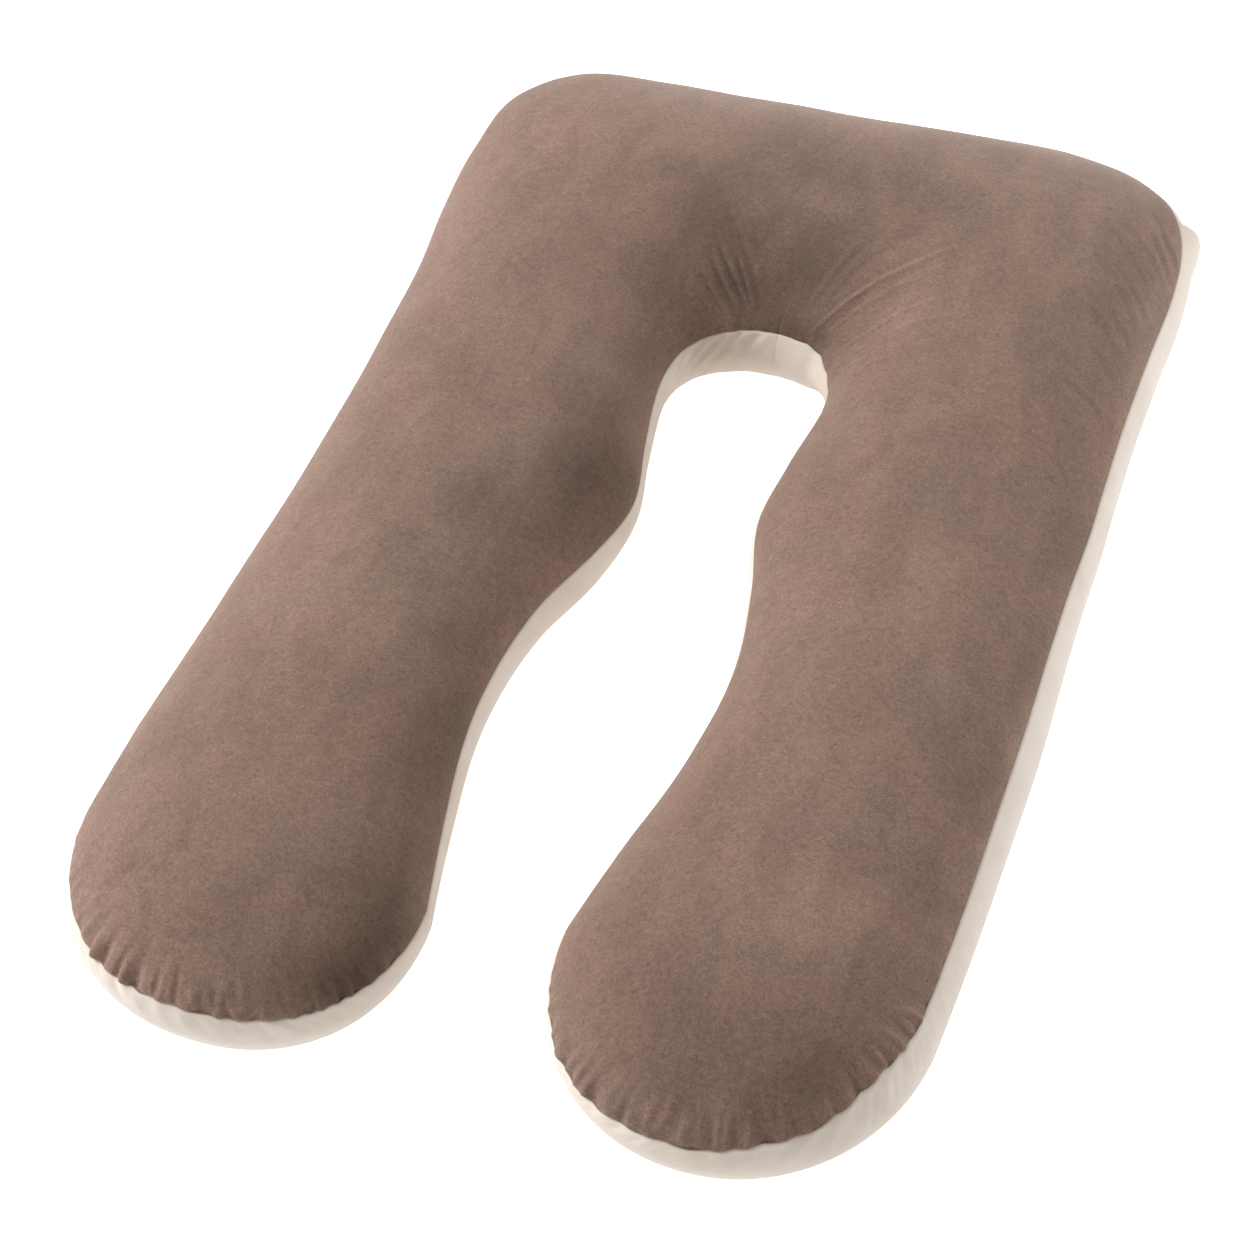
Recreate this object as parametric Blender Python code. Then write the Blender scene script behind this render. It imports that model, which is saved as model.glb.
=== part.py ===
"""A U-shaped pregnancy pillow, lying on its back.

The stuffed body is worked out as sections that run from the inner edge of the U to its outer edge,
up one leg, round the head and down the other leg. Each leg ends in a round cap. The cover is sewn
from four cut panels, brown velour above the side seam and cream jersey below it, and each pair is
joined by a seam down the middle of the head. Each panel is a solid with the filling under it.

Metres, +Z up. +Y runs from the leg ends to the head. The sizes below count y from the leg ends, and
the finished pillow is shifted so that the origin is on the floor under the middle of its box.
"""

import math

import bpy
import numpy as np
from mathutils import Matrix, Vector

# Cross section
EQUATOR_Z = 0.075  # height of the widest line of the sides
CROWN = 0.095  # rise of the crown above that line, at the reference width
CROWN_HALF_WIDTH = 0.165  # half width of the section that the crown is stated for
CROWN_POWER = 0.1  # wider sections stand a little higher
FLOOR_INSET = 0.122  # how far the underside draws in on its way down to the floor
UNDER_POWER = 1.8  # roundness of the underside: 2 is an ellipse, less is more slanted

# Height of the side seam: place round the half, height. Places run from -100 at the middle of the
# head's inner edge to 0 at the leg end, then in degrees round it to 180, and on to 280 at the
# middle of the head's outer edge.
LEFT_SEAM = (
    (-100, 0.106),
    (-90, 0.101),
    (-80, 0.096),
    (-65, 0.092),
    (-50, 0.100),
    (-20, 0.098),
    (0, 0.092),
    (45, 0.096),
    (95, 0.099),
    (125, 0.095),
    (180, 0.100),
    (280, 0.105),
)
RIGHT_SEAM = (
    (-100, 0.106),
    (-95, 0.107),
    (-90, 0.100),
    (-86, 0.095),
    (-75, 0.098),
    (-50, 0.091),
    (0, 0.091),
    (45, 0.086),
    (90, 0.094),
    (120, 0.103),
    (155, 0.115),
    (180, 0.113),
    (202, 0.117),
    (220, 0.111),
    (250, 0.111),
    (280, 0.105),
)
SEAM_CORE_Z = 0.100  # where the panels meet inside
SEAM_PINCH = 0.0025  # how far the stitching draws the cloth in
PINCH_REACH = 0.06  # how far up that shows, as a share of the way to the crown
GAP = 0.0003  # between two panels

# Folds drawn into the seam, as the notches between them: place round the half, depth, and how far
# up to the crown the folds run, as a share of the way. The first rows are the creases that fan out
# from the neck, the others the gathers round the leg end.
LEFT_FOLDS = (
    (-99.6, 0.0000, 0.50),
    (-97.7, 0.0012, 0.50),
    (-96.1, 0.0013, 0.45),
    (-94.4, 0.0010, 0.40),
    (-92.2, 0.0000, 0.35),
    (8, 0.0000, 0.30),
    (18, 0.0007, 0.30),
    (26, 0.0011, 0.30),
    (33, 0.0012, 0.30),
    (40, 0.0013, 0.28),
    (45, 0.0010, 0.26),
    (50, 0.0010, 0.26),
    (54, 0.0009, 0.26),
    (60, 0.0010, 0.28),
    (68, 0.0011, 0.30),
    (78, 0.0012, 0.32),
    (83, 0.0011, 0.34),
    (94, 0.0016, 0.38),
    (101, 0.0016, 0.40),
    (108, 0.0017, 0.42),
    (114, 0.0016, 0.42),
    (122, 0.0018, 0.40),
    (128, 0.0016, 0.38),
    (136, 0.0014, 0.36),
    (147, 0.0011, 0.34),
    (160, 0.0006, 0.30),
    (170, 0.0000, 0.30),
)
RIGHT_FOLDS = (
    (-98.0, 0.0000, 0.50),
    (-96.0, 0.0010, 0.50),
    (-93.8, 0.0010, 0.50),
    (-91.6, 0.0014, 0.60),
    (-89.6, 0.0010, 0.45),
    (-87.6, 0.0010, 0.45),
    (-85.2, 0.0008, 0.40),
    (-82.0, 0.0000, 0.35),
    (10, 0.0000, 0.30),
    (22, 0.0006, 0.30),
    (35, 0.0011, 0.34),
    (48, 0.0016, 0.38),
    (61, 0.0018, 0.40),
    (72, 0.0018, 0.38),
    (87, 0.0012, 0.32),
    (99, 0.0014, 0.32),
    (106, 0.0010, 0.32),
    (114, 0.0012, 0.34),
    (124, 0.0012, 0.36),
    (136, 0.0016, 0.40),
    (146, 0.0017, 0.44),
    (156, 0.0014, 0.42),
    (163, 0.0011, 0.36),
    (169, 0.0008, 0.30),
    (176, 0.0000, 0.30),
)
FOLD_STEPS = (0.0, 0.22, 0.5, 0.78)  # points across a gather, as shares of its width
FOLD_EDGE = 1.4  # sharpness of the notches
SMOOTH_STEP = 8  # degrees between points where the leg end has no gathers

# Mounds and hollows of the top, where the filling has settled: x and y of the middle, spread in x
# and in y, height
SETTLED = (
    (-0.120, 0.790, 0.060, 0.080, 0.007),
    (-0.150, 0.580, 0.080, 0.080, -0.005),
    (-0.240, 0.730, 0.090, 0.050, -0.004),
    (-0.220, 0.360, 0.100, 0.090, 0.004),
    (-0.140, 1.140, 0.080, 0.100, 0.005),
    (0.020, 1.070, 0.055, 0.100, -0.012),
    (0.090, 1.110, 0.050, 0.080, -0.004),
    (0.240, 0.760, 0.100, 0.090, -0.004),
    (0.270, 1.060, 0.080, 0.100, 0.003),
    (0.150, 0.550, 0.070, 0.100, 0.004),
    (0.220, 0.250, 0.100, 0.100, -0.003),
)
SETTLED_RAMP = 0.35  # share of the way to the crown over which they grow

# Corner of the cream underside that stands out past the velour at the right of the head: x and y
EAR_PLACE = (0.391, 1.309)
EAR_OUT = 0.016
EAR_NEAR_SPREAD = 0.036
EAR_FAR_SPREAD = 0.021

# Sections of the legs: distance from the leg end, inner edge, outer edge
LEFT_LEG = (
    (0.180, -0.063, -0.403),
    (0.280, -0.083, -0.403),
    (0.420, -0.101, -0.396),
    (0.550, -0.088, -0.392),
    (0.635, -0.061, -0.390),
    (0.715, -0.051, -0.390),
    (0.800, -0.066, -0.390),
    (0.870, -0.077, -0.392),
)
RIGHT_LEG = (
    (0.200, 0.053, 0.395),
    (0.280, 0.067, 0.399),
    (0.420, 0.095, 0.403),
    (0.550, 0.102, 0.405),
    (0.640, 0.088, 0.403),
    (0.735, 0.066, 0.402),
    (0.810, 0.071, 0.403),
    (0.870, 0.079, 0.402),
)

# Sections of the head: inner edge x and y, outer edge x and y, with y from the leg ends too
LEFT_HEAD = (
    (-0.077, 0.908, -0.396, 0.985),
    (-0.071, 0.933, -0.407, 1.085),
    (-0.062, 0.950, -0.412, 1.197),
    (-0.051, 0.963, -0.399, 1.300),
    (-0.039, 0.971, -0.340, 1.360),
    (-0.026, 0.977, -0.244, 1.375),
    (-0.013, 0.981, -0.130, 1.380),
)
CENTRE = (0.013, 0.982, 0.013, 1.387)
RIGHT_HEAD = (
    (0.083, 0.908, 0.402, 0.985),
    (0.082, 0.935, 0.405, 1.085),
    (0.076, 0.952, 0.409, 1.197),
    (0.071, 0.960, 0.406, 1.250),
    (0.066, 0.966, 0.396, 1.298),
    (0.059, 0.972, 0.376, 1.340),
    (0.052, 0.976, 0.343, 1.370),
    (0.036, 0.979, 0.251, 1.397),
    (0.024, 0.981, 0.138, 1.396),
)
STEPS_PER_ROW = 4

# Round ends of the legs: reach past the first section, lean to the middle, superellipse power
LEFT_CAP = (0.177, 0.013, 2.12)
RIGHT_CAP = (0.187, 0.007, 2.04)

# Rings of points round the half: shares of the way from the seam up to the crown, shares of the way
# from the seam down to the equator, and degrees below the equator
TOP_RINGS = (0.0, 0.10, 0.22, 0.36, 0.52, 0.72)
SEAM_TO_EQUATOR = (0.0, 0.45, 1.0)
UNDER_RINGS = (22.0, 45.0, 68.0, 90.0)
SHARP_EDGE = 45  # degrees

VELOUR = {"name": "velour", "colour": (0.262, 0.172, 0.136, 1.0), "roughness": 0.9}
JERSEY = {"name": "jersey", "colour": (0.735, 0.655, 0.570, 1.0), "roughness": 0.85}


def clear_scene():
    for old in list(bpy.data.objects):
        bpy.data.objects.remove(old)


def fabric(look):
    """A cloth finish for one kind of panel."""
    material = bpy.data.materials.get(look["name"])
    if material is None:
        material = bpy.data.materials.new(look["name"])
        material.use_nodes = True
        shader = material.node_tree.nodes["Principled BSDF"]
        shader.inputs["Base Color"].default_value = look["colour"]
        shader.inputs["Roughness"].default_value = look["roughness"]
        shader.inputs["Metallic"].default_value = 0.0
        material.diffuse_color = look["colour"]
    return material


def through_rows(rows, steps):
    """A smooth curve through the rows of a table, with the same number of steps between each two."""
    rows = np.array(rows, float)
    middle = 0.5 * (rows[:, :2] + rows[:, 2:])
    knots = np.concatenate([[0.0], np.cumsum(np.linalg.norm(np.diff(middle, axis=0), axis=1))])
    gap = np.diff(knots)[:, None]
    slope = np.diff(rows, axis=0) / gap
    tangent = np.empty_like(rows)
    tangent[1:-1] = (slope[:-1] * gap[1:] + slope[1:] * gap[:-1]) / (gap[:-1] + gap[1:])
    tangent[0] = 2.0 * slope[0] - tangent[1]
    tangent[-1] = 2.0 * slope[-1] - tangent[-2]
    points = []
    for i in range(len(rows) - 1):
        for step in range(steps):
            t = step / steps
            points.append(
                rows[i] * (1 + 2 * t) * (1 - t) ** 2
                + rows[i + 1] * t * t * (3 - 2 * t)
                + tangent[i] * gap[i] * t * (1 - t) ** 2
                - tangent[i + 1] * gap[i] * t * t * (1 - t)
            )
    points.append(rows[-1])
    return np.array(points)


def sections():
    """Inner and outer edge of every section, from the left leg over the head to the right leg."""

    def level(row):
        return (row[1], row[0], row[2], row[0])

    rows = [level(row) for row in LEFT_LEG] + list(LEFT_HEAD) + [CENTRE]
    centre = (len(rows) - 1) * STEPS_PER_ROW
    rows += list(RIGHT_HEAD)[::-1] + [level(row) for row in RIGHT_LEG][::-1]
    return through_rows(rows, STEPS_PER_ROW), centre


def half_outline(side):
    """One half of the U, as its outline from the inner edge at the centre, round the leg end, to the
    outer edge at the centre. Returns its points, the middle line, which point of the middle line
    each outline point draws in to, and its place round the half."""
    table, centre = sections()
    ladder = table[: centre + 1][::-1] if side < 0 else table[centre:]
    ladder = ladder.copy()
    ladder[0, 0] = ladder[0, 2] = CENTRE[0] + side * GAP / 2
    inner, outer = ladder[:, :2], ladder[:, 2:]
    middle = 0.5 * (inner + outer)
    reach, lean, power = LEFT_CAP if side < 0 else RIGHT_CAP
    half = 0.5 * np.linalg.norm(outer[-1] - inner[-1])
    last = len(ladder) - 1
    points = list(inner)
    partner = list(range(len(ladder)))
    place = list(run(inner) * 100 - 100)
    for degrees in cap_places(side):
        angle = math.radians(degrees)
        across, down = -math.cos(angle), math.sin(angle)
        x = side * (math.copysign(abs(across) ** (2 / power), across) * half - lean * down)
        y = -(down ** (2 / power)) * reach
        points.append(middle[-1] + np.array([x, y]))
        partner.append(last)
        place.append(degrees)
    points += list(outer[::-1])
    partner += list(range(len(ladder)))[::-1]
    place += list(run(outer[::-1]) * 100 + 180)
    return np.array(points), middle, partner, np.array(place)


def run(line):
    """Length along a line of points, as shares of the whole."""
    steps = np.linalg.norm(np.diff(line, axis=0), axis=1)
    return np.concatenate([[0.0], np.cumsum(steps)]) / steps.sum()


def folds(side):
    return LEFT_FOLDS if side < 0 else RIGHT_FOLDS


def cap_places(side):
    """Where the points round a leg end lie, in degrees: even steps, and a few to each fold."""
    notches = [place for place, depth, reach in folds(side) if place > 0]
    places = list(np.arange(SMOOTH_STEP, notches[0] - SMOOTH_STEP / 2, SMOOTH_STEP))
    for start, end in zip(notches, notches[1:]):
        places += [start + (end - start) * share for share in FOLD_STEPS]
    places += [notches[-1]]
    rest = int((180 - notches[-1]) / SMOOTH_STEP)
    places += list(np.linspace(notches[-1], 180, rest + 2)[1:-1])
    return places


def fold_wave(place, side):
    """Swell of the folds at each point, below 0 in the notches and above it between them, and their
    reach."""
    places, depths, reaches = np.array(folds(side), float).T
    depth = np.interp(place, places, depths)
    fold = np.clip(np.searchsorted(places, place, side="right") - 1, 0, len(places) - 2)
    across = np.clip((place - places[fold]) / (places[fold + 1] - places[fold]), 0.0, 1.0)
    swell = depth * (1.0 - 2.0 * (1.0 - np.sin(math.pi * across)) ** FOLD_EDGE)
    return swell, np.interp(place, places, reaches)


def seam_height(place, side):
    """Height of the side seam under its folds, eased from row to row of its table."""
    places, heights = np.array(LEFT_SEAM if side < 0 else RIGHT_SEAM, float).T
    row = np.clip(np.searchsorted(places, place, side="right") - 1, 0, len(places) - 2)
    share = (place - places[row]) / (places[row + 1] - places[row])
    ease = share * share * (3 - 2 * share)
    return heights[row] + (heights[row + 1] - heights[row]) * ease


def ear_swell(outline, side):
    """How far the cream corner stands out, at each outline point of the right half."""
    if side < 0:
        return np.zeros(len(outline))
    away = np.linalg.norm(outline - np.array(EAR_PLACE), axis=1)
    far = outline[:, 1] - outline[:, 0] > EAR_PLACE[1] - EAR_PLACE[0]
    return EAR_OUT * np.exp(-((away / np.where(far, EAR_FAR_SPREAD, EAR_NEAR_SPREAD)) ** 2))


def settled(points):
    """Rise and fall of the top over the settled filling, at each point."""
    rise = np.zeros(len(points))
    for x, y, spread_x, spread_y, height in SETTLED:
        across = (points[:, 0] - x) / spread_x
        along = (points[:, 1] - y) / spread_y
        rise += height * np.exp(-0.5 * (across**2 + along**2))
    return rise


class Half:
    """The shape of one half of the pillow, shared by its upper and its lower panel."""

    def __init__(self, side):
        self.side = side
        self.outline, self.middle, self.partner, self.place = half_outline(side)
        self.target = self.middle[self.partner]
        self.radius = np.linalg.norm(self.target - self.outline, axis=1)
        self.outward = (self.outline - self.target) / self.radius[:, None]
        self.outward[[0, -1], 0] = 0.0
        self.wave, self.reach = fold_wave(self.place, side)
        half_width = self.radius[: len(self.middle)]
        self.crown = CROWN * (half_width / CROWN_HALF_WIDTH) ** CROWN_POWER
        self.rise = self.crown[self.partner]
        seam_z = seam_height(self.place, side) - self.wave
        self.seam_angle = np.arcsin((seam_z - EQUATOR_Z) / self.rise)
        self.ear = ear_swell(self.outline, side)

    def ring(self, inset, height, push):
        """Outline drawn in by inset towards the middle line, at a height, pushed outward."""
        plan = self.outline + (self.target - self.outline) * inset[:, None]
        plan = plan + self.outward * push[:, None]
        return np.column_stack([plan, np.broadcast_to(height, len(plan))])

    def above(self, angle):
        """A ring on the upper side of the equator, at an angle for each outline point."""
        climb = (angle - self.seam_angle) / (math.pi / 2 - self.seam_angle)
        swell = np.exp(-((climb / self.reach) ** 2))
        pinch = -SEAM_PINCH * np.exp(-((climb / PINCH_REACH) ** 2))
        push = self.wave * swell + pinch
        ring = self.ring(1 - np.cos(angle), EQUATOR_Z + self.rise * np.sin(angle), push)
        ramp = np.clip(climb / SETTLED_RAMP, 0.0, 1.0)
        ring[:, 2] += settled(ring) * ramp * ramp * (3 - 2 * ramp)
        return ring

    def below_seam(self, share):
        """A ring of the cream panel between the seam, 0, and the equator, 1."""
        angle = self.seam_angle * (1 - share)
        ease = math.sin(math.pi / 2 * share)
        push = (self.wave - SEAM_PINCH) * (1 - ease) + self.ear * ease
        return self.ring(1 - np.cos(angle), EQUATOR_Z + self.rise * np.sin(angle), push)

    def under(self, degrees):
        """A ring of the underside, at an angle below the equator."""
        angle = math.radians(degrees)
        width = math.cos(angle) ** (2 / UNDER_POWER)
        depth = math.sin(angle) ** (2 / UNDER_POWER)
        inset = FLOOR_INSET / self.radius * (1 - width)
        return self.ring(inset, EQUATOR_Z * (1 - depth), self.ear * width)


def middle_line(half, height):
    return np.column_stack([half.middle, np.broadcast_to(height, len(half.middle))])


def panel_mesh(half, rings, ridge, mate):
    """A closed shell: rings from the seam to a ridge line, and a mating face from the ridge's foot
    back to the seam, with a flat face at the centre of the head."""
    count, spine = len(half.outline), len(half.middle)
    points = np.vstack([*rings, ridge, mate])
    ridge_at = len(rings) * count
    mate_at = ridge_at + spine
    faces = []

    def strip(low, high):
        """Triangles between two chains of points, where the chains may share points."""
        for i in range(count - 1):
            a, b, c, d = low(i), low(i + 1), high(i + 1), high(i)
            faces.append((a, b, c))
            if c != d:
                faces.append((a, c, d))

    for k in range(len(rings) - 1):
        strip(lambda i, k=k: k * count + i, lambda i, k=k: (k + 1) * count + i)
    strip(
        lambda i: (len(rings) - 1) * count + i,
        lambda i: ridge_at + half.partner[i],
    )
    outer_faces = len(faces)
    strip(lambda i: i, lambda i: mate_at + half.partner[i])
    faces[outer_faces:] = [tuple(reversed(f)) for f in faces[outer_faces:]]
    inner_end = [k * count for k in range(len(rings))]
    outer_end = [k * count + count - 1 for k in range(len(rings))]
    faces.append(tuple(inner_end + [ridge_at] + outer_end[::-1] + [mate_at]))
    return points, faces


def add_panel(name, half, rings, ridge, mate, upper, look):
    points, faces = panel_mesh(half, rings, ridge, mate)
    if (half.side > 0) != upper:
        faces = [tuple(reversed(f)) for f in faces]
    mesh = bpy.data.meshes.new(name)
    mesh.from_pydata([tuple(p) for p in points], [], faces)
    mesh.validate()
    mesh.shade_smooth()
    mesh.set_sharp_from_angle(angle=math.radians(SHARP_EDGE))
    panel = bpy.data.objects.new(name, mesh)
    panel.data.materials.append(fabric(look))
    bpy.context.scene.collection.objects.link(panel)
    return panel


def upper_panel(name, half):
    rings = []
    for share in TOP_RINGS:
        angle = half.seam_angle + (math.pi / 2 - half.seam_angle) * share
        rings.append(half.above(angle))
    rings[0][:, 2] += GAP / 2
    ridge = middle_line(half, EQUATOR_Z + half.crown)
    ridge[:, 2] += settled(ridge)
    mate = middle_line(half, SEAM_CORE_Z + GAP / 2)
    return add_panel(name, half, rings, ridge, mate, True, VELOUR)


def lower_panel(name, half):
    rings = [half.below_seam(share) for share in SEAM_TO_EQUATOR]
    rings[0][:, 2] -= GAP / 2
    rings += [half.under(degrees) for degrees in UNDER_RINGS]
    ridge = middle_line(half, 0.0)
    mate = middle_line(half, SEAM_CORE_Z - GAP / 2)
    return add_panel(name, half, rings, ridge, mate, False, JERSEY)


def stand_on_origin(panels):
    """Shift the panels together, so that the origin is under the middle of their box."""
    points = np.array([point.co[:] for panel in panels for point in panel.data.vertices])
    low, high = points.min(axis=0), points.max(axis=0)
    shift = Vector((-(low[0] + high[0]) / 2, -(low[1] + high[1]) / 2, -low[2]))
    for panel in panels:
        panel.data.transform(Matrix.Translation(shift))


def main():
    clear_scene()
    panels = []
    for side, word in ((-1, "left"), (1, "right")):
        half = Half(side)
        panels.append(upper_panel(f"velour_{word}", half))
        panels.append(lower_panel(f"jersey_{word}", half))
    stand_on_origin(panels)


main()
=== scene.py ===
"""A U-shaped pregnancy pillow in a plain studio, laid out as a Blender add-on and run as a script.

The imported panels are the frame. Each of the four cut panels, brown velour above the side seam and
cream jersey below it, is built here as a fine closed shell with its gathers, creases and soft hollows,
and takes the place of its plain panel. Metres, +Z up, +Y from the leg ends to the head.
"""

import math

import bpy
import numpy as np
from bpy.props import FloatProperty, FloatVectorProperty, PointerProperty
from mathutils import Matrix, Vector, noise


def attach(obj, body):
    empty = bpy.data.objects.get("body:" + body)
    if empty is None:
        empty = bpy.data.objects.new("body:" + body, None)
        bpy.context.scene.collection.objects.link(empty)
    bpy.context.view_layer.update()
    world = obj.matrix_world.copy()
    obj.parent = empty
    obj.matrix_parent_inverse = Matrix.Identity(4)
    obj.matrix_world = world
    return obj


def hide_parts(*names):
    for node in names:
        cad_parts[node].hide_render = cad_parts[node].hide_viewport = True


bl_info = {
    "name": "Pregnancy Pillow",
    "version": (1, 0, 0),
    "blender": (4, 5, 0),
    "location": "3D View > Sidebar > Pillow",
    "description": "Velour and jersey panels of a U-shaped pregnancy pillow, and a studio for it",
    "category": "Add Mesh",
}

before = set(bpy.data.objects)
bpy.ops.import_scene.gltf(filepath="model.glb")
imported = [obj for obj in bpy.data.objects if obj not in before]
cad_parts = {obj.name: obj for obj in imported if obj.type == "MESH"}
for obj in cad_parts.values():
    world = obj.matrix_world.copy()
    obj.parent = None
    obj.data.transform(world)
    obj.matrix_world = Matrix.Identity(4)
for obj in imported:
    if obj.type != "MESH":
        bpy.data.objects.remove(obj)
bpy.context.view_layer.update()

# Where the tables' zero lies in the frame: x of the head's centre, y of the leg ends
TABLE_X = 0.0017
TABLE_Y = -0.7011
SEAM_X = 0.0147  # middle seam of the head, in the frame

# Sections of the legs: distance from the leg end, inner edge, outer edge
LEFT_LEG = (
    (0.180, -0.063, -0.403),
    (0.280, -0.083, -0.403),
    (0.420, -0.101, -0.396),
    (0.550, -0.088, -0.392),
    (0.635, -0.061, -0.390),
    (0.715, -0.051, -0.390),
    (0.800, -0.066, -0.390),
    (0.870, -0.077, -0.392),
)
RIGHT_LEG = (
    (0.200, 0.053, 0.395),
    (0.280, 0.067, 0.399),
    (0.420, 0.095, 0.403),
    (0.550, 0.102, 0.405),
    (0.640, 0.088, 0.403),
    (0.735, 0.066, 0.402),
    (0.810, 0.071, 0.403),
    (0.870, 0.079, 0.402),
)

# Sections of the head: inner edge x and y, outer edge x and y
LEFT_HEAD = (
    (-0.077, 0.908, -0.396, 0.985),
    (-0.071, 0.933, -0.407, 1.085),
    (-0.062, 0.950, -0.412, 1.197),
    (-0.051, 0.963, -0.399, 1.300),
    (-0.039, 0.971, -0.340, 1.360),
    (-0.026, 0.977, -0.244, 1.375),
    (-0.013, 0.981, -0.130, 1.380),
)
CENTRE = (0.013, 0.982, 0.013, 1.387)
RIGHT_HEAD = (
    (0.083, 0.908, 0.402, 0.985),
    (0.082, 0.935, 0.405, 1.085),
    (0.076, 0.952, 0.409, 1.197),
    (0.071, 0.960, 0.406, 1.250),
    (0.066, 0.966, 0.396, 1.298),
    (0.059, 0.972, 0.376, 1.340),
    (0.052, 0.976, 0.343, 1.370),
    (0.036, 0.979, 0.251, 1.397),
    (0.024, 0.981, 0.138, 1.396),
)
STEPS_PER_ROW = 30

# Round ends of the legs: reach past the first section, lean to the middle, superellipse power
LEFT_CAP = (0.177, 0.013, 2.12)
RIGHT_CAP = (0.187, 0.007, 2.04)
CAP_STEP = 0.6  # degrees between points round a leg end

# Height of the side seam: place round the half, height. Places run from -100 at the middle of the
# head's inner edge to 0 at the leg end, then in degrees round it to 180, and on to 280 at the
# middle of the head's outer edge.
LEFT_SEAM = (
    (-100, 0.106),
    (-90, 0.101),
    (-80, 0.096),
    (-65, 0.092),
    (-50, 0.100),
    (-20, 0.098),
    (0, 0.092),
    (45, 0.096),
    (95, 0.099),
    (125, 0.095),
    (180, 0.100),
    (280, 0.105),
)
RIGHT_SEAM = (
    (-100, 0.106),
    (-97, 0.105),
    (-95, 0.101),
    (-92.5, 0.094),
    (-90, 0.087),
    (-86, 0.081),
    (-80, 0.087),
    (-70, 0.095),
    (-50, 0.091),
    (0, 0.091),
    (45, 0.086),
    (90, 0.094),
    (120, 0.103),
    (155, 0.115),
    (180, 0.113),
    (202, 0.117),
    (220, 0.111),
    (250, 0.111),
    (280, 0.105),
)
SEAM_CORE_Z = 0.100  # where the panels meet inside
SEAM_GAP = 0.0001  # between panels that meet

# Rise of the crown with the width of the body: half width that the crown's height is given for, power
CROWN_HALF_WIDTH = 0.165
CROWN_POWER = 0.1
FLOOR_POWER = 1.8  # superellipse power of the underside's turn down to the floor

# Cream corner at the right of the head: its middle, how far it stands out, how far it runs out down
# the side, and how far round the head, with the powers of its round end
EAR_PLACE = (0.391, 1.309)
EAR_OUT = 0.016
EAR_NEAR_SPREAD = 0.036
EAR_FAR_REACH = 0.0115
EAR_FAR_POWERS = (2.5, 0.6)

# Mounds and hollows of the top, where the filling has settled: x and y of the middle, spread in x
# and in y, height
SETTLED = (
    (-0.120, 0.790, 0.060, 0.080, 0.007),
    (-0.150, 0.580, 0.080, 0.080, -0.005),
    (-0.240, 0.730, 0.090, 0.050, -0.004),
    (-0.220, 0.360, 0.100, 0.090, 0.004),
    (-0.140, 1.140, 0.080, 0.100, 0.005),
    (0.020, 1.070, 0.055, 0.100, -0.012),
    (0.090, 1.110, 0.050, 0.080, -0.004),
    (0.240, 0.760, 0.100, 0.090, -0.004),
    (0.270, 1.060, 0.080, 0.100, 0.003),
    (0.150, 0.550, 0.070, 0.100, 0.004),
    (0.220, 0.250, 0.100, 0.100, -0.003),
)
SETTLED_RAMP = 0.35  # share of the way to the crown over which they grow

# Gathers drawn into the seam, as the notches between them: place round the half, depth, share of the
# way to the crown that they run up, and lean in degrees over the whole way
LEFT_GATHERS = (
    (-99.6, 0.0000, 0.10, 0),
    (-97.7, 0.0003, 0.12, 0),
    (-96.1, 0.0004, 0.14, 0),
    (-94.4, 0.0003, 0.12, 0),
    (-92.2, 0.0000, 0.10, 0),
    (8, 0.0000, 0.15, 0),
    (18, 0.0004, 0.15, 0),
    (26, 0.0007, 0.16, 4),
    (33, 0.0008, 0.15, 6),
    (40, 0.0009, 0.16, 4),
    (45, 0.0007, 0.12, 2),
    (50, 0.0007, 0.14, 0),
    (54, 0.0007, 0.12, 0),
    (60, 0.0009, 0.15, 2),
    (68, 0.0009, 0.17, 3),
    (78, 0.0010, 0.17, 2),
    (83, 0.0009, 0.15, 0),
    (94, 0.0012, 0.20, -2),
    (101, 0.0013, 0.22, -4),
    (108, 0.0013, 0.22, -5),
    (114, 0.0012, 0.21, -5),
    (122, 0.0013, 0.21, -4),
    (128, 0.0011, 0.19, -4),
    (136, 0.0009, 0.19, -6),
    (147, 0.0003, 0.17, -8),
    (160, 0.0001, 0.15, -8),
    (170, 0.0000, 0.12, -6),
)
RIGHT_GATHERS = (
    (-99, 0.0000, 0.12, 0),
    (-97, 0.0004, 0.14, 0),
    (-94.6, 0.0003, 0.14, 0),
    (-92.2, 0.0004, 0.16, 0),
    (-90, 0.0003, 0.14, 0),
    (-88, 0.0003, 0.12, 0),
    (-85.6, 0.0003, 0.12, 0),
    (-82, 0.0000, 0.12, 0),
    (10, 0.0000, 0.15, 0),
    (22, 0.0005, 0.15, 4),
    (35, 0.0008, 0.17, 6),
    (48, 0.0012, 0.19, 6),
    (61, 0.0013, 0.19, 4),
    (72, 0.0013, 0.17, 2),
    (87, 0.0011, 0.16, 0),
    (99, 0.0012, 0.17, 0),
    (106, 0.0010, 0.16, -2),
    (114, 0.0011, 0.17, -3),
    (124, 0.0011, 0.19, -5),
    (136, 0.0014, 0.21, -7),
    (146, 0.0014, 0.24, -9),
    (156, 0.0012, 0.22, -10),
    (163, 0.0011, 0.20, -9),
    (169, 0.0007, 0.17, -8),
    (178, 0.0004, 0.15, -6),
    (181, 0.0000, 0.12, -4),
)
CAP_METRES_PER_DEGREE = 0.003
LEFT_SKEW, RIGHT_SKEW = 1.25, 0.8  # above 1, a fold's back lies nearer its last notch
FOLD_POWER = 1.5  # above 1, the notches between the folds are wider than their backs
FOLD_AT_SEAM = 0.4  # share of a fold's depth that bends the seam itself
FOLD_ABOVE = 1.5  # the same share a little above the seam
FOLD_RISE = 0.05  # share of the way to the crown where it gets there

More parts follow.
